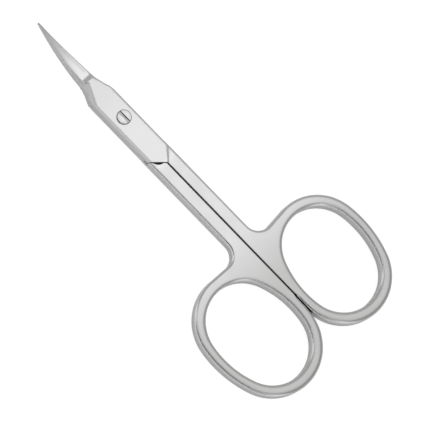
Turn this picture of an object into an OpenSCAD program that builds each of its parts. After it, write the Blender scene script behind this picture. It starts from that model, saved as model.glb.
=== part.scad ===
// Cuticle scissors with curved tower-point blades: two forged halves that turn on a slotted screw.
// Z is the pivot axis, the closed blades point along +X, and Z = 0 is the face the joint rests on.
// The front half has its finger ring on the -Y side, and the back half on the +Y side.

/* [Handles] */
// Thickness of the shanks and finger rings
shank_t = 3.0; // [2.6:0.1:3.4]
// Width of both shanks together when closed
shanks_w = 6.0; // [5.6:0.1:6.6]
// Gap between the closed shanks
shank_gap = 0.3; // [0.2:0.05:0.4]
// Radius of the rounded edges of shanks and rings
edge_r = 0.65; // [0.45:0.05:0.75]
// Distance from the pivot to the fillet where a shank widens into its ring
fillet_x = 33.1; // [30:0.1:34]
// Radius of that fillet
fillet_r = 3.15; // [2.6:0.05:3.6]

/* [Finger rings] */
// Length of the finger hole
hole_l = 23.4; // [21:0.1:25]
// Width of the finger hole
hole_w = 18.0; // [17.4:0.1:19]
// Radius of the two ends of the finger hole
hole_end_r = 8.55; // [8.2:0.05:8.6]
// Width of the ring along the sides of the hole
ring_side_w = 2.15; // [2.0:0.05:2.5]
// Width of the ring at the ends of the hole
ring_end_w = 2.55; // [2.3:0.05:2.7]
// Distance from the start of the fillet back to the front of the ring
web_l = 2.8; // [2.6:0.05:3.4]
// Least width of the ring between its hole and the shank gap
ring_inner_w = 2.0; // [1.8:0.05:2.2]
// Angle by which each ring leans in towards the other at its far end
ring_lean = 6; // [4:0.5:8]

/* [Joint] */
// Width of the joint plates
plate_w = 5.6; // [5.2:0.1:6]
// Thickness of the two joint plates together
joint_t = 3.5; // [3.3:0.1:4]
// Running gap between the two halves at the joint and along the blades
joint_gap = 0.05; // [0.03:0.01:0.08]
// Distance from the pivot to the outer corners of the V behind the plate
vee_corner_x = 10.1; // [9.4:0.1:11]
// Distance from the pivot to the point of that V
vee_apex_x = 12.6; // [12:0.1:14]
// Distance from the pivot to where the bevel behind the plate meets the plate's side
bevel_corner_x = 9.4; // [9.2:0.1:10.4]
// Clearance between the V of one half and the shoulder of the other
vee_clear = 0.14; // [0.1:0.02:0.2]
// Depth of the hollow in the shoulder behind the V
vee_hollow = 0.35; // [0.2:0.05:0.5]
// Width of the bevel from the plate down to its own shank
vee_bevel_w = 0.55; // [0.4:0.05:0.7]
// Width and height of the chamfer along the sides of the plates
plate_chamfer = 0.4; // [0.25:0.05:0.5]

/* [Blades] */
// Distance from the pivot to the blade tips
blade_l = 25.5; // [24:0.1:27]
// Distance from the pivot to where the blades start to bend up
bend_x = 8; // [7:0.1:9]
// Radius of the bend of the cutting faces
bend_r = 40; // [34:1:50]
// Thickness of each blade at the start of the bend
blade_t = 1.07; // [0.95:0.01:1.2]
// Thickness of each blade at its tip
blade_tip_t = 0.35; // [0.25:0.05:0.5]
// Distance from the pivot to the foot of the hollow step in front of the plate
step_x = 11.45; // [11:0.05:12]
// Radius of that step
step_r = 1.6; // [1.2:0.1:2]
// Distance from the pivot to where the blade's own bevels start
blade_root_x = 10.0; // [9.9:0.1:10.4]
// Distance from the pivot to where the plate's outline has become the blade's, on the front half's edge side
neck_end_x = 8.4; // [8:0.1:9]
// Half width of the blade root on the cutting edge side
root_edge_y = 1.9; // [1.7:0.05:2.2]
// Half width of the blade root on the spine side
root_spine_y = 1.5; // [1.4:0.05:1.7]
// Sideways place of the tip, which lies a little off the pivot line
tip_y = 0.1; // [0:0.05:0.3]
// Width of the blunt end of each tip
tip_w = 0.2; // [0.1:0.05:0.3]
// Distance from the pivot line to the ridge between face and spine bevel
ridge_y = 0.85; // [0.7:0.05:1]
// Slope of the spine bevel
ridge_slope = 40; // [30:1:50]
// Angle from the blade's line at which the facet on the spine side of the plate's nose runs back
facet_turn = 26.7; // [24:0.1:30]
// The same angle of the facet on the cutting edge side
edge_facet_turn = 26; // [22:1:28]
// Slope of that facet
edge_facet_slope = 55; // [50:1:60]
// Distance from the pivot line to its upper end at the blade's root
edge_facet_y = 1.1; // [1:0.05:1.3]
// Width of the bevel along the cutting edge at the blade's root
edge_bevel_w = 0.35; // [0.2:0.05:0.5]
// Slope of the bevel along the cutting edge
edge_bevel_slope = 55; // [40:1:65]
// Overhang by which each spine hides the other blade's edge
edge_hide = 0.12; // [0.05:0.01:0.2]
// Distance from the pivot to where the front plate starts to narrow
neck_x = 5.5; // [5:0.1:6]
// The same distance on the back plate
back_neck_x = 5.7; // [5.4:0.1:6.2]

/* [Screw] */
// Diameter of the screw's smooth journal
journal_d = 2.0; // [1.6:0.1:2.4]
// Radial running clearance between journal and bore
journal_clear = 0.04; // [0.02:0.01:0.08]
// Diameter of the threaded end
thread_d = 1.7; // [1.4:0.1:1.9]
// Diameter of the head
head_d = 3.05; // [2.8:0.05:3.4]
// Height of the head's rim above the plate
head_h = 0.3; // [0.2:0.05:0.4]
// Rise of the domed top above the rim
dome_h = 0.15; // [0.1:0.05:0.25]
// Gap between head and plate
head_gap = 0.02; // [0.01:0.01:0.04]
// Width of the slot
slot_w = 0.42; // [0.3:0.02:0.6]
// Depth of the slot below the rim's top
slot_d = 0.15; // [0.1:0.01:0.2]

/* [Hidden] */
$fn = 96;
// Facets for the large circles of the blades
blade_fn = 240;
// Margin by which cutters run past what they cut
over = 1;
mid_z = joint_t / 2;
shank_out = shanks_w / 2;
shank_in = shank_gap / 2;
plate_out = plate_w / 2;

// Width of the swept strips that carry the rounded edges
strip_w = ring_side_w - edge_r - 0.05;
// Inset of the plain filling from an edge, between the rounding and the strip's inner side
fill_in = edge_r + 0.25;

hole_a = hole_l / 2;
hole_b = hole_w / 2;
hole_R = oval_side_r(hole_a, hole_b, hole_end_r);
ring_a = hole_a + ring_end_w;
ring_b = hole_b + ring_side_w;
ring_end_r = hole_end_r + ring_side_w;
ring_R = oval_side_r(ring_a, ring_b, ring_end_r);
ring_x = fillet_x + web_l + ring_end_r + (ring_a - ring_end_r) * cos(ring_lean);
ring_y = shank_in + ring_inner_w + hole_R - (hole_R - hole_b) * cos(ring_lean);
// Centres of the ovals' front ends and of their sides next to the shank gap
ring_front_c = ring_point(ring_a - ring_end_r, 0);
ring_near_c = ring_point(0, ring_R - ring_b);
hole_front_c = ring_point(hole_a - hole_end_r, 0);
hole_near_c = ring_point(0, hole_R - hole_b);
// Angle at which the hole's end arc meets its side arc
hole_turn = oval_turn(hole_a, hole_b, hole_end_r);

// A straight edge joins the ring's front end and the fillet, and crosses both by a hair instead of just
// touching them
seam = 0.02;
// How far it runs on at its two ends, past its crossing with the fillet and short of leaving the ring again
fillet_run = 0.6;
ring_run = 0.3;
fillet_c = [-fillet_x, shank_out + fillet_r];
web_axis = fillet_c - ring_front_c;
web_normal = atan2(web_axis.y, web_axis.x) + acos((ring_end_r + fillet_r) / norm(web_axis));
web_ring_p = around(ring_front_c, ring_end_r - seam, web_normal);
web_fillet_p = around(fillet_c, seam - fillet_r, web_normal);
web_dir = (web_ring_p - web_fillet_p) / norm(web_ring_p - web_fillet_p);
// Where the ring's outer oval leaves the shank gap, and how far behind its lowest point the filling ends
leave_x = ring_near_c.x + sqrt(ring_R * ring_R - (ring_near_c.y - shank_in) * (ring_near_c.y - shank_in));
fade_turn = 11;

vee_len = norm([vee_apex_x - vee_corner_x, plate_out]);
vee_turn = atan2(plate_out, vee_apex_x - vee_corner_x);
// Radius of the hollow in the shoulder, over six tenths of its length
hollow_half = 0.3 * vee_len;
hollow_R = (hollow_half * hollow_half + vee_hollow * vee_hollow) / (2 * vee_hollow);

blade_span = blade_l - bend_x;
bend_rise = bend_r - sqrt(bend_r * bend_r - blade_span * blade_span);
// Outer faces: the front one is flatter and the back one steeper than the cutting faces
front_rise = bend_rise + blade_tip_t - blade_t;
back_rise = bend_rise + blade_t - blade_tip_t;
front_R = arc_r(blade_span, front_rise);
back_R = arc_r(blade_span, back_rise);
front_face_z = mid_z + joint_gap / 2 + blade_t;
back_face_z = mid_z - joint_gap / 2 - blade_t;
tall = joint_t + bend_rise + blade_t;
edge_turn = 0.75 * atan2(root_edge_y + tip_y, blade_l - blade_root_x);
// The edge bevel's ridge in a frame turned by edge_turn
edge_ridge_y = (edge_bevel_w - root_edge_y) * cos(edge_turn) - blade_root_x * sin(edge_turn);

bore_d = journal_d + 2 * journal_clear;
head_r = head_d / 2;
dome_R = (head_r * head_r + dome_h * dome_h) / (2 * dome_h);
head_z = joint_t + head_gap;

// Side radius of a four-centred oval with half axes a and b and end radius r
function oval_side_r(a, b, r) = (a * a + b * b - 2 * a * r) / (2 * (b - r));

// Angle at which its end arc meets its side arc, in whole thousandths of a degree
function oval_turn(a, b, r) = round(1000 * atan2(oval_side_r(a, b, r) - b, a - r)) / 1000;

// Radius of an arc that starts level and rises by h over the length l
function arc_r(l, h) = (l * l + h * h) / (2 * h);

function around(c, r, a) = c + r * [cos(a), sin(a)];

// A point of the back half's ring: u runs along the hole to the front, v across it to the outside
function ring_point(u, v) = [
    -ring_x + u * cos(ring_lean) - v * sin(ring_lean),
    ring_y + u * sin(ring_lean) + v * cos(ring_lean)
];

function smooth(t) = t * t * (3 - 2 * t);

// One side of a plate and blade, from where it starts to narrow out to the tip
function side_points(from_x, root_x, root_y, end_y, power) = concat(
    [for (i = [0 : 8])
        [from_x + (root_x - from_x) * i / 8, plate_out + (root_y - plate_out) * smooth(i / 8)]],
    [for (i = [1 : 10])
        [root_x + (blade_l - root_x) * i / 10, root_y + (end_y - root_y) * pow(i / 10, power)]]
);

function flip(points) = [for (i = [len(points) - 1 : -1 : 0]) [points[i].x, -points[i].y]];

// Moves by whole tenths first, so that the arcs' places stay exact when they are written with few digits
module shift(v) {
    tenths = [round(10 * v.x), round(10 * v.y)] / 10;
    translate(tenths)
        translate(v - tenths)
            children();
}

// Half of an edge's cross-section: rounded corners at x = 0 and plain towards x = strip_w
module edge_section() {
    translate([edge_r, -shank_t / 2])
        square([strip_w - edge_r, shank_t]);
    translate([0, edge_r - shank_t / 2])
        square([edge_r, shank_t - 2 * edge_r]);
    for (z = [-1, 1])
        intersection() {
            translate([edge_r, z * (shank_t / 2 - edge_r)])
                circle(edge_r);
            translate([0, z > 0 ? shank_t / 2 - edge_r : -shank_t / 2])
                square(edge_r);
        }
}

// Rounded edge along the straight line from p to q, with the metal on its left
module edge_line(p, q) {
    shift(p)
        rotate([0, 0, atan2(q.y - p.y, q.x - p.x)])
            translate([0, 0, mid_z])
                rotate([90, 0, 90])
                    linear_extrude(norm(q - p))
                        edge_section();
}

// Rounded edge along an arc, with the metal outside it, or inside it where inside is true
module edge_arc(c, r, from, sweep, inside = false) {
    shift(c)
        rotate(from)
            translate([0, 0, mid_z])
                rotate_extrude(angle = sweep)
                    shift([r, 0])
                        mirror([inside ? 1 : 0, 0])
                            edge_section();
}

// Rounded edge along a whole four-centred oval, as four equal quarters
module edge_oval(a, b, r, inside) {
    turn = oval_turn(a, b, r);
    for (x = [0, 1])
        for (y = [0, 1])
            mirror([x, 0])
                mirror([0, y]) {
                    edge_arc([a - r, 0], r, 0, turn, inside);
                    mirror([1, -1])
                        edge_arc([(r - a) * tan(turn), 0], r + (a - r) / cos(turn), 0, 90 - turn, inside);
                }
}

// Flat filling between the rounded edges, from the V to the ring's near side
module filling() {
    steps = 6;
    fillet_from = web_normal + 180;
    end_from = -18;
    end_to = ring_lean - hole_turn;
    near_to = -90 - fade_turn;
    points = concat(
        [[-vee_corner_x, 0], [-vee_corner_x, shank_out - fill_in]],
        [for (i = [0 : steps]) around(fillet_c, fillet_r + fill_in, 270 + (fillet_from - 270) * i / steps)],
        [web_ring_p - around(web_dir, fill_in, web_normal)],
        [for (i = [0 : steps]) around(hole_front_c, hole_end_r + fill_in, end_from + (end_to - end_from) * i / steps)],
        [for (i = [1 : steps]) around(hole_near_c, hole_R + fill_in, end_to + (near_to - end_to) * i / steps)],
        [around(ring_near_c, ring_R - fill_in, near_to), [leave_x, 0]]
    );
    translate([0, 0, mid_z - shank_t / 2])
        linear_extrude(shank_t)
            polygon(points);
}

// Outline of the V's rear side on the shank's side, moved back by gap
module vee_front(gap) {
    translate([-vee_apex_x, 0])
        rotate(vee_turn)
            translate([-2 * over, gap - 5 * over])
                square([vee_len + 4 * over, 5 * over]);
}

// What the other half's plate leaves free in front of the shoulder
module shoulder_cut() {
    intersection() {
        union() {
            vee_front(vee_clear);
            translate([-vee_apex_x, 0])
                rotate(vee_turn)
                    translate([vee_len / 2, vee_clear + vee_hollow - hollow_R])
                        circle(hollow_R);
        }
        translate([-vee_apex_x - over, -over])
            square([vee_apex_x + 2 * over, shank_out + 2 * over]);
    }
}

// Removes what lies to the right of the line from p to q and above a slope falling away from it
module slope_cut(p, q, slope, z) {
    w = 3;
    translate([p.x, p.y, z])
        rotate([0, 0, atan2(q.y - p.y, q.x - p.x)])
            rotate([90, 0, 90])
                linear_extrude(norm(q - p))
                    polygon([[0, 0], [0, over], [-w, over], [-w, -w * tan(slope)]]);
}

// Shank, web and ring of the back half; the front half is the same piece turned over
module handle() {
    difference() {
        union() {
            edge_line([-vee_corner_x + over, shank_out], [-fillet_x, shank_out]);
            edge_arc(fillet_c, fillet_r, 270, web_normal - 90);
            edge_line(web_fillet_p - fillet_run * web_dir, web_ring_p + ring_run * web_dir);
            shift([-ring_x, ring_y])
                rotate(ring_lean) {
                    edge_oval(hole_a, hole_b, hole_end_r, false);
                    edge_oval(ring_a, ring_b, ring_end_r, true);
                }
            filling();
        }
        translate([-2 * ring_x, shank_in - shanks_w, -over])
            cube([2 * ring_x + over, shanks_w, joint_t + 2 * over]);
        translate([0, 0, mid_z - joint_gap / 2])
            linear_extrude(joint_t)
                shoulder_cut();
    }
}

// Rear part of the back half's plate: a V at its end, bevelled down to its own shank
module plate_rear() {
    apex = [-vee_apex_x, 0];
    corner = [-bevel_corner_x, plate_out];
    side = (corner - apex) / norm(corner - apex);
    slope = atan((joint_t - shank_t) / 2 / vee_bevel_w);
    turn_over()
        mirror([0, 1, 0])
            difference() {
                translate([0, 0, mid_z + joint_gap / 2])
                    linear_extrude(mid_z - joint_gap / 2)
                        polygon([
                            apex, [-vee_corner_x, -plate_out], [0, -plate_out],
                            [0, plate_out], corner - [vee_bevel_w / side.y, 0], apex + [-vee_bevel_w * side.y, shank_in]
                        ]);
                slope_cut(corner + over * side, apex - over * side, slope, joint_t);
            }
}

// Region above the curve that runs level to the bend and then rises
module above_bend(R) {
    square([bend_x, tall]);
    intersection() {
        translate([bend_x, R])
            circle(R, $fn = blade_fn);
        translate([bend_x, 0])
            square([blade_span + over, tall]);
    }
}

// Radial section of the front half's plate and blade
module front_section() {
    step_z = front_face_z + front_R - sqrt(front_R * front_R - (step_x - bend_x) * (step_x - bend_x));
    intersection() {
        translate([0, mid_z + joint_gap / 2])
            above_bend(bend_r);
        difference() {
            square([blade_l + over, tall]);
            translate([0, joint_t])
                square([step_x, tall]);
            intersection() {
                translate([step_x, step_z + step_r])
                    circle(step_r);
                square([step_x, tall]);
            }
            intersection() {
                translate([bend_x, front_face_z + front_R])
                    circle(front_R, $fn = blade_fn);
                translate([step_x, 0])
                    square([blade_span + over, tall + over]);
            }
        }
    }
}

// Radial section of the back half's plate and blade
module back_section() {
    step_z = back_face_z + back_R - sqrt(back_R * back_R - (step_x - bend_x) * (step_x - bend_x));
    difference() {
        union() {
            difference() {
                square([step_x, tall]);
                translate([step_x, step_z - step_r])
                    circle(step_r);
            }
            intersection() {
                translate([bend_x, back_face_z + back_R])
                    circle(back_R, $fn = blade_fn);
                translate([step_x, 0])
                    square([blade_span, tall]);
            }
        }
        translate([0, mid_z - joint_gap / 2])
            above_bend(bend_r);
    }
}

// Outlines of the plates and blades seen from above
module front_outline() {
    start = [bend_x / -2, plate_out];
    spine = side_points(neck_x, blade_root_x, root_spine_y, tip_y + tip_w / 2, 1.4);
    edge = side_points(neck_x, neck_end_x, root_edge_y, tip_w / 2 - tip_y, 1.5);
    polygon(concat([start], spine, flip(edge), [[start.x, -start.y]]));
}

module back_outline() {
    start = [bend_x / -2, plate_out];
    edge = side_points(back_neck_x, blade_root_x, root_spine_y - edge_hide, tip_y + tip_w / 2, 1.4);
    spine = side_points(back_neck_x, neck_end_x, root_edge_y - edge_hide, tip_w / 2 - tip_y, 1.5);
    polygon(concat([start], edge, flip(spine), [[start.x, -start.y]]));
}

// Turns a piece over about the joint's middle plane, which swaps the two halves' places
module turn_over() {
    translate([0, 0, joint_t])
        rotate([180, 0, 0])
            children();
}

// Chamfers along the sides of the front plate, and the facets on its nose that run into the blade's bevels
module plate_bevels() {
    y = plate_out - plate_chamfer;
    facet_p = [blade_root_x, ridge_y - back_face_z / tan(ridge_slope)];
    facet_q = facet_p + blade_root_x * [-cos(facet_turn), sin(facet_turn)];
    edge_q = [blade_root_x, -edge_facet_y];
    edge_p = edge_q - blade_root_x * [cos(edge_facet_turn), sin(edge_facet_turn)];
    slope_cut([neck_x, y], [-vee_apex_x, y], 45, joint_t);
    slope_cut([-vee_apex_x, -y], [neck_x + over, -y], 45, joint_t);
    slope_cut(facet_p, facet_q, ridge_slope, joint_t);
    slope_cut(edge_p, edge_q, edge_facet_slope, joint_t);
}

// The part of a blade in front of its root, as a box for its bevels
module ahead_of_root() {
    translate([blade_root_x, -shank_out, -over])
        cube([blade_span + bend_x, shanks_w, tall + 2 * over]);
}

// Cones about the blade's own bend give it an even bevel along the spine and the cutting edge
module front_blade_bevels() {
    centre_z = front_face_z + front_R;
    intersection() {
        ahead_of_root();
        union() {
            translate([bend_x, ridge_y, centre_z])
                rotate([-90, 0, 0])
                    cylinder(h = shanks_w, r1 = front_R, r2 = front_R + shanks_w * tan(ridge_slope), $fn = blade_fn);
            rotate(edge_turn)
                translate([bend_x, edge_ridge_y, centre_z])
                    rotate([90, 0, 0])
                        cylinder(
                            h = shanks_w,
                            r1 = front_R,
                            r2 = front_R + shanks_w * tan(edge_bevel_slope),
                            $fn = blade_fn
                        );
        }
    }
}

module back_cone(slope) {
    difference() {
        cylinder(h = shanks_w, r = back_R + over, $fn = blade_fn);
        translate([0, 0, -0.001])
            cylinder(h = shanks_w + 0.002, r1 = back_R, r2 = back_R - shanks_w * tan(slope), $fn = blade_fn);
    }
}

module back_blade_bevels() {
    centre_z = back_face_z + back_R;
    intersection() {
        ahead_of_root();
        union() {
            translate([bend_x, -ridge_y, centre_z])
                rotate([90, 0, 0])
                    back_cone(ridge_slope);
            rotate(-edge_turn)
                translate([bend_x, -edge_ridge_y, centre_z])
                    rotate([-90, 0, 0])
                        back_cone(edge_bevel_slope);
        }
    }
}

module front_half() {
    color("silver")
        difference() {
            union() {
                turn_over() handle();
                difference() {
                    union() {
                        turn_over() plate_rear();
                        intersection() {
                            linear_extrude(tall) front_outline();
                            rotate_extrude() front_section();
                        }
                    }
                    plate_bevels();
                    front_blade_bevels();
                }
            }
            cylinder(h = joint_t + over, d = bore_d);
        }
}

module back_half() {
    color("lightgray")
        difference() {
            union() {
                handle();
                difference() {
                    union() {
                        plate_rear();
                        intersection() {
                            linear_extrude(tall) back_outline();
                            rotate_extrude() back_section();
                        }
                    }
                    turn_over() plate_bevels();
                    back_blade_bevels();
                }
            }
            translate([0, 0, -over])
                cylinder(h = joint_t, d = thread_d);
        }
}

// Slotted screw: its thread ends flush in the back plate and its head holds the front plate
module pivot_screw() {
    rim_z = head_z + head_h;
    color("gainsboro")
        difference() {
            union() {
                cylinder(h = mid_z, d = thread_d);
                translate([0, 0, mid_z - joint_gap / 2])
                    cylinder(h = head_z + head_h / 2 - mid_z + joint_gap / 2, d = journal_d);
                translate([0, 0, head_z])
                    cylinder(h = head_h, d = head_d);
                intersection() {
                    translate([0, 0, rim_z + dome_h - dome_R])
                        sphere(dome_R);
                    translate([0, 0, rim_z])
                        cylinder(h = dome_h + over, d = head_d);
                }
            }
            translate([-head_d, -slot_w / 2, rim_z - slot_d])
                cube([2 * head_d, slot_w, head_d]);
        }
}

front_half();
back_half();
pivot_screw();
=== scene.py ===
import math

import bpy
from mathutils import Matrix, Vector

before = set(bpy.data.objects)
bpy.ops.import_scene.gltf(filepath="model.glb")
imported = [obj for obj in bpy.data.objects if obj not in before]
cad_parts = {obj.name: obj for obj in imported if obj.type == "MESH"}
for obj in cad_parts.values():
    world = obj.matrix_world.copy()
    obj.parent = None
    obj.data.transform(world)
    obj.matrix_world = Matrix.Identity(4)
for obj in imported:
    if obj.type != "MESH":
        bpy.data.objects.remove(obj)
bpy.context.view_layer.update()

# Camera: the photograph's view, fitted to the object's outline
IMAGE = 430
TILT, TURN, ROLL = 20.0704, -0.279, 134.1163
AIM = Vector((-0.020, 0, 0.00175))
AIM_PIXEL = (190.82, 190.30)
DISTANCE = 0.5081
PX_PER_M = 4932.3
FOCAL_PX = PX_PER_M * DISTANCE
SENSOR = 36
CLIP = (0.01, 10)

# World: direction of the softbox's middle, the angles from it in degrees at which its light has faded and is full,
# and its dimming towards -X: the direction's X where it is weakest and where it is full, and its share at both
SOFTBOX = (0.0, -0.342, 0.94)
BOX_EDGE, BOX_CORE = 34, 12
BOX_DIM = (-0.5, -0.1, 0.3, 1.0)
BOX_LIGHT = (1.18, 1.18, 1.18, 1)
TENT_MINUS_Y = (0.4, 0.4, 0.405, 1)
TENT_PLUS_Y = (0.84, 0.84, 0.845, 1)
TENT_TURN = (0.0, 0.25)
GAP = (0.03, 0.03, 0.032, 1)
GAP_TOP, GAP_BOTTOM = (0.37, 0.42), (0.47, 0.53)
WHITE = (1, 1, 1, 1)

# Floor: paper just under the object
FLOOR_SIZE = 2
FLOOR_Z = -0.00002
PAPER = (0.8, 0.8, 0.8, 1)
PAPER_SEEN = (0.3, 0.3, 0.3, 1)
PAPER_GLOW = 0.89
MIRRORED_SHARE = 0.15

# Steel: stations along X, in metres, between which one finish passes into the next
WEB_TONE_END = (-0.048, -0.03)
RINGS_END = (-0.041, -0.034)
RING_POLISH_END = (-0.037, -0.03)
SHANK_START = (-0.034, -0.03)
PARTING_END = (-0.014, -0.012)
PLATE_START = (-0.0135, -0.0115)
PLATE_FADE = (-0.004, 0.01)
NECK = (0.006, 0.009)
BLADE_START = (0.0095, 0.0115)
HOLLOW_START = (0.011, 0.0125)
MIDLINE = (0.0105, 0.033)
TAPER = (0.008, 0.034)

# Steel: how far the polishing has rounded the corners, in metres
RING_CORNER, RING_PARTING_CORNER = 0.0011, 0.0003
MINUS_Y_CORNER, PLAIN_CORNER = 0.0006, 0.0001
PARTING_EXTRA = 0.0002
CORNER_SAMPLES = 12

# Steel: distances from the parting line within which the radius changes, on the rings and on the shanks,
# and the line in Y, before and after the neck, from which the radius passes from the -Y side's to the plain one
RING_PARTING_REACH, SHANK_PARTING_REACH = (0.0004, 0.0014), (0.0004, 0.0012)
SIDE_LINE = (-0.0015, -0.0004)
SIDE_LINE_BLUR = 0.0006

# Steel: colours
SATIN_DARK = (0.67, 0.67, 0.675, 1)
SATIN_LIGHT = (0.73, 0.73, 0.735, 1)
RING_TONE = (0.51, 0.508, 0.5, 1)
BRIGHT = (0.88, 0.88, 0.885, 1)
# Painted light: the lighter colour given to sloped faces
SLOPE_PAINTED_LIGHT = (0.86, 0.86, 0.865, 1)
# Painted shade colour, for the darkened gaps and slot and the dark lines along the corners
PAINTED_SHADE_COLOUR = (0.1, 0.1, 0.105, 1)

# Steel: shares of those colours, at the two ends of PLATE_FADE, and of the painted light on the slopes
PLATE_BRIGHTENING = (0.5, 0.15)
SLOPE_PAINTED_LIGHT_SHARE = 0.8

# Steel: roughness on the rings and on the rest, what is added on the flats of both and elsewhere,
# the plate's least roughness, and what is taken off again
ROUGH_BASE = (0.06, 0.24)
ROUGH_FLATS = (0.22, 0.04)
ROUGH_WALLS = 0.1
ROUGH_SHANK_EDGES = 0.2
ROUGH_CLOUD = 0.1
ROUGH_PLATE = 0.34
BLADE_FINER = 0.14
WORN_FINER = 0.06

# Steel: how level a face is, from 0 for a wall to 1 for a flat, where one kind passes into the next
WALL_LEVEL = (0.05, 0.3)
HOLLOW_LEVEL = (0.8, 0.95)
SLOPE_LEVEL = (0.9, 0.99)
FLAT_LEVEL = (0.97, 0.999)

# Steel: Y of the middle of the blades' faces and half their width, at the ends of MIDLINE and of TAPER,
# and the most that hollow grinding leans a normal
MIDDLE_Y = (0.0, 0.0001)
HALF_WIDTH = (0.0013, 0.0002)
HOLLOW_LEAN = 0.27

# Steel: scale, detail and roughness of each noise; the grain's scale is low along the brushing and high across it
GRAIN_SCALE = (180.0, 9000.0, 9000.0)
GRAIN = (1.0, 3.0, 0.6)
CLOUD = (220.0, 3.0)
FINE = (6000.0, 2.0)
CLOUD_RANGE = (0.3, 0.7)
CLOUD_MEAN = 0.5

# Steel: cosine of the turn at a corner where wear and the painted dark line are full and where they end, and the
# noise in the wear
WORN_TURN, WORN_NOISE = (0.85, 1.0), 0.05
PAINTED_LINE_TURN = (0.9, 0.995)

# Steel: reach of the painted shade in metres, the openness over which it fades, and the noise in it
PAINTED_SHADE_REACH, PAINTED_SHADE_SAMPLES = 0.0006, 8
PAINTED_SHADE_OPENNESS, PAINTED_SHADE_NOISE = (0.35, 0.8), 0.1

# Steel: strength and depth in metres of the grain's bump, and the share that the fine noise has in it
BUMP_STRENGTH, BUMP_DEPTH = 0.12, 0.00002
FINE_SHARE = 0.35

# Node: direction of the grain in degrees, roughness scale, corner radius or None for the regions' own,
# and the share of painted shade along the corners, a dark line as if they mirrored dark surroundings
FINISHES = {
    "front_half": (-6, 1.0, None, 0.0),
    "back_half": (6, 1.0, None, 0.0),
    "pivot_screw": (20, 0.9, 0.0003, 0.7),
}


def make_camera():
    turn = (
        Matrix.Rotation(math.radians(ROLL), 3, "Z")
        @ Matrix.Rotation(math.radians(TURN), 3, "Y")
        @ Matrix.Rotation(math.radians(TILT), 3, "X")
    )
    data = bpy.data.cameras.new("camera")
    cam = bpy.data.objects.new("camera", data)
    bpy.context.scene.collection.objects.link(cam)
    data.sensor_width = SENSOR
    data.lens = SENSOR * FOCAL_PX / IMAGE
    data.clip_start, data.clip_end = CLIP
    # The image centre looks a little past the point aimed at
    off_x = (IMAGE / 2 - AIM_PIXEL[0]) / FOCAL_PX
    off_y = (IMAGE / 2 - AIM_PIXEL[1]) / FOCAL_PX
    aim = Vector((off_x, -off_y, -1)).normalized()
    swing = Vector((0, 0, -1)).rotation_difference(aim).to_matrix()
    place = turn.transposed()
    away = Matrix.Translation(AIM + place @ Vector((0, 0, DISTANCE)))
    cam.matrix_world = away @ (place @ swing).to_4x4()
    bpy.context.scene.camera = cam


class Nodes:
    """Short forms for building a node tree."""

    def __init__(self, tree):
        self.tree = tree
        tree.nodes.clear()

    def put(self, socket, value):
        if isinstance(value, bpy.types.NodeSocket):
            self.tree.links.new(value, socket)
        else:
            socket.default_value = value

    def add(self, kind, inputs=None, **settings):
        node = self.tree.nodes.new("ShaderNode" + kind)
        for key, value in settings.items():
            setattr(node, key, value)
        for key, value in (inputs or {}).items():
            self.put(node.inputs[key], value)
        return node

    def math(self, operation, a, b=0.0, clamp=False):
        return self.add("Math", {0: a, 1: b}, operation=operation, use_clamp=clamp).outputs[0]

    def plus(self, a, b):
        return self.math("ADD", a, b)

    def minus(self, a, b):
        return self.math("SUBTRACT", a, b)

    def times(self, a, b):
        return self.math("MULTIPLY", a, b)

    def vector(self, operation, a, b=(0, 0, 0)):
        return self.add("VectorMath", {0: a, 1: b}, operation=operation).outputs

    def ramp(self, value, low, high, to_low=0.0, to_high=1.0):
        """value between low and high becomes a smooth step from to_low to to_high."""
        return self.add(
            "MapRange",
            {"Value": value, "From Min": low, "From Max": high, "To Min": to_low, "To Max": to_high},
            interpolation_type="SMOOTHSTEP",
        ).outputs["Result"]

    def mix(self, factor, a, b):
        return self.add("Mix", {0: factor, 6: a, 7: b}, data_type="RGBA").outputs[2]

    def noise(self, vector, scale, detail=2.0, rough=0.5):
        inputs = {"Vector": vector, "Scale": scale, "Detail": detail, "Roughness": rough}
        return self.add("TexNoise", inputs).outputs[0]


def make_world():
    """A light tent with a softbox overhead, and a dark gap beside it that draws the lines on polished edges."""
    world = bpy.data.worlds.new("studio")
    bpy.context.scene.world = world
    world.use_nodes = True
    n = Nodes(world.node_tree)
    towards = n.add("TexCoord").outputs["Generated"]
    way_x, way_y, way_z = n.add("SeparateXYZ", {0: towards}).outputs
    facing = n.vector("DOT_PRODUCT", towards, SOFTBOX)["Value"]
    box = n.ramp(facing, math.cos(math.radians(BOX_EDGE)), math.cos(math.radians(BOX_CORE)))
    box = n.times(box, n.ramp(way_x, *BOX_DIM))
    tent = n.mix(n.ramp(way_y, *TENT_TURN), TENT_MINUS_Y, TENT_PLUS_Y)
    room = n.mix(box, tent, BOX_LIGHT)
    # The gap between the softbox and the tent's wall on the +Y side
    gap = n.times(n.ramp(way_y, *GAP_TOP), n.ramp(way_z, *GAP_BOTTOM))
    room = n.mix(gap, room, GAP)
    seen = n.add("LightPath").outputs["Is Camera Ray"]
    sky = n.add("Background", {"Color": n.mix(seen, room, WHITE), "Strength": 1.0})
    n.put(n.add("OutputWorld").inputs[0], sky.outputs[0])


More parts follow.
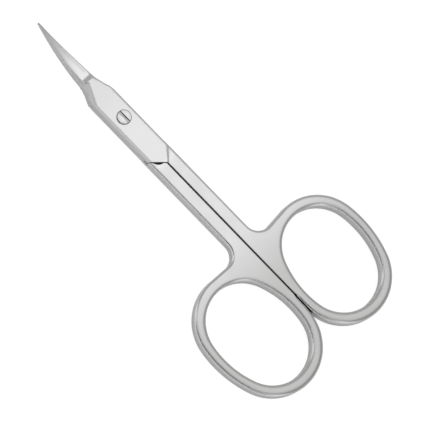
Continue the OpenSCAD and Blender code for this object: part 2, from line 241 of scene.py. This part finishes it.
def make_floor():
    bpy.ops.mesh.primitive_plane_add(size=FLOOR_SIZE, location=(0, 0, FLOOR_Z))
    floor = bpy.context.object
    floor.name = "floor"
    mat = bpy.data.materials.new("floor")
    mat.use_nodes = True
    n = Nodes(mat.node_tree)
    ray = n.add("LightPath").outputs
    paper = n.add("BsdfDiffuse", {"Color": PAPER})
    # To the eye the paper is nearly white by itself, and keeps only a trace of the shadow
    pale = n.add("BsdfDiffuse", {"Color": PAPER_SEEN})
    glow = n.add("Emission", {"Color": WHITE, "Strength": PAPER_GLOW})
    lit = n.add("AddShader", {0: pale.outputs[0], 1: glow.outputs[0]})
    mirrored = n.math("MAXIMUM", ray["Is Glossy Ray"], ray["Is Transmission Ray"])
    share = n.math("ADD", ray["Is Camera Ray"], n.times(mirrored, MIRRORED_SHARE), clamp=True)
    both = n.add("MixShader", {0: share, 1: paper.outputs[0], 2: lit.outputs[0]})
    n.put(n.add("OutputMaterial").inputs[0], both.outputs[0])
    floor.data.materials.append(mat)


def corner_radius(n, along, across):
    """Most on the rings, and more on the -Y edges of shank, plate and blade than on the others."""
    rings = n.ramp(n.math("ABSOLUTE", across), *RING_PARTING_REACH, RING_PARTING_CORNER, RING_CORNER)
    inset = n.minus(across, n.ramp(along, *NECK, *SIDE_LINE))
    near_parting = n.ramp(across, *SHANK_PARTING_REACH, 1.0, 0.0)
    near_parting = n.times(n.ramp(along, *PARTING_END, 1.0, 0.0), near_parting)
    plain = n.plus(n.times(near_parting, PARTING_EXTRA), PLAIN_CORNER)
    return n.ramp(along, *RINGS_END, rings, n.ramp(inset, 0.0, SIDE_LINE_BLUR, MINUS_Y_CORNER, plain))


def steel_colour(n, along, up, plate, cloud, worn, painted_shade, painted_corner_line):
    colour = n.mix(n.ramp(cloud, *CLOUD_RANGE), SATIN_DARK, SATIN_LIGHT)
    # The webs and finger rings keep a greyer, slightly warmer finish
    colour = n.mix(n.ramp(along, *WEB_TONE_END, 1.0, 0.0), colour, RING_TONE)
    colour = n.mix(n.times(plate, n.ramp(along, *PLATE_FADE, *PLATE_BRIGHTENING)), colour, BRIGHT)
    # Painted light: faces tilted away from level are given a lighter colour
    colour = n.mix(n.ramp(up, *SLOPE_LEVEL, SLOPE_PAINTED_LIGHT_SHARE, 0.0), colour, SLOPE_PAINTED_LIGHT)
    colour = n.mix(worn, colour, BRIGHT)
    # Painted shade in the narrow gaps and the slot, then painted dark lines along the corners
    colour = n.mix(painted_shade, colour, PAINTED_SHADE_COLOUR)
    return n.mix(painted_corner_line, colour, PAINTED_SHADE_COLOUR)


def steel_roughness(n, along, flat, wall, plate, cloud, worn, polish):
    on_flats = n.times(flat, n.ramp(along, *RING_POLISH_END, *ROUGH_FLATS))
    rough = n.plus(on_flats, n.ramp(along, *RING_POLISH_END, *ROUGH_BASE))
    rough = n.plus(rough, n.times(wall, ROUGH_WALLS))
    shank_edges = n.times(n.ramp(along, *SHANK_START), n.minus(1.0, flat))
    rough = n.plus(rough, n.times(shank_edges, ROUGH_SHANK_EDGES))
    rough = n.math("MAXIMUM", rough, n.times(plate, ROUGH_PLATE))
    # The blades are ground finer than the plate
    rough = n.minus(rough, n.times(n.ramp(along, *BLADE_START), BLADE_FINER))
    rough = n.plus(rough, n.times(n.minus(cloud, CLOUD_MEAN), ROUGH_CLOUD))
    rough = n.minus(rough, n.times(worn, WORN_FINER))
    return n.times(rough, polish)


def hollow_normal(n, normal, along, across, up):
    """The blades are hollow ground: their normals lean towards the middle of the face."""
    middle = n.ramp(along, *MIDLINE, *MIDDLE_Y)
    half_width = n.ramp(along, *TAPER, *HALF_WIDTH)
    lean = n.math("DIVIDE", n.minus(middle, across), half_width)
    lean = n.times(n.math("MINIMUM", n.math("MAXIMUM", lean, -1.0), 1.0), HOLLOW_LEAN)
    lean = n.times(lean, n.times(n.ramp(along, *HOLLOW_START), n.ramp(up, *HOLLOW_LEVEL)))
    lean = n.add("CombineXYZ", {"Y": lean}).outputs[0]
    lean = n.add("VectorTransform", {0: lean}, vector_type="VECTOR", convert_from="OBJECT", convert_to="WORLD")
    leant = n.vector("ADD", normal, lean.outputs[0])[0]
    return n.vector("NORMALIZE", leant)[0]


def make_steel(name, grain_turn, polish, corner, painted_line_share):
    """Satin forged steel: brushed flats, polished rounded edges, fine wear on its corners, painted light on the
    sloped faces, and painted shade in the gaps, in the slot and along the corners.
    """
    mat = bpy.data.materials.new(name)
    mat.use_nodes = True
    n = Nodes(mat.node_tree)
    place = n.add("TexCoord").outputs["Object"]
    normal = n.add("NewGeometry").outputs["Normal"]
    up = n.math("ABSOLUTE", n.add("SeparateXYZ", {0: normal}).outputs[2])
    flat = n.ramp(up, *FLAT_LEVEL)
    wall = n.ramp(up, *WALL_LEVEL, 1.0, 0.0)
    along, across, _ = n.add("SeparateXYZ", {0: place}).outputs
    plate = n.ramp(along, *PLATE_START)

    turned = n.add("Mapping", {"Vector": place, "Rotation": (0, 0, math.radians(grain_turn))}).outputs[0]
    brushed = n.add("Mapping", {"Vector": turned, "Scale": GRAIN_SCALE}).outputs[0]
    grain = n.noise(brushed, *GRAIN)
    cloud = n.noise(place, *CLOUD)
    fine = n.noise(place, *FINE)

    # Corners catch light: the rounded normal differs from the flat one there
    radius = corner_radius(n, along, across) if corner is None else corner
    rounded = n.add("Bevel", {"Radius": radius}, samples=CORNER_SAMPLES).outputs[0]
    turn = n.vector("DOT_PRODUCT", rounded, normal)["Value"]
    worn = n.ramp(n.plus(turn, n.times(fine, WORN_NOISE)), *WORN_TURN, 1.0, 0.0)
    # Painted shade and dark reflection: a dark line along the corners
    painted_corner_line = n.ramp(turn, *PAINTED_LINE_TURN, painted_line_share, 0.0)

    # Painted shade: the colour darkens in the narrow gaps and in the slot, where little light reaches
    open_air = n.add("AmbientOcclusion", {"Distance": PAINTED_SHADE_REACH}, samples=PAINTED_SHADE_SAMPLES).outputs["AO"]
    painted_shade = n.ramp(n.plus(open_air, n.times(cloud, PAINTED_SHADE_NOISE)), *PAINTED_SHADE_OPENNESS, 1.0, 0.0)

    height = n.plus(grain, n.times(fine, FINE_SHARE))
    facing = hollow_normal(n, rounded, along, across, up)
    bump = n.add(
        "Bump",
        {"Strength": BUMP_STRENGTH, "Distance": BUMP_DEPTH, "Height": height, "Normal": facing},
    )
    steel = n.add(
        "BsdfPrincipled",
        {
            "Base Color": steel_colour(n, along, up, plate, cloud, worn, painted_shade, painted_corner_line),
            "Metallic": 1.0,
            "Roughness": steel_roughness(n, along, flat, wall, plate, cloud, worn, polish),
            "Normal": bump.outputs[0],
        },
    )
    n.put(n.add("OutputMaterial").inputs[0], steel.outputs[0])
    return mat


make_camera()
make_world()
make_floor()
for name, finish in FINISHES.items():
    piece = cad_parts[name]
    piece.data.materials.clear()
    piece.data.materials.append(make_steel(name, *finish))

bpy.context.scene.view_settings.view_transform = "Standard"
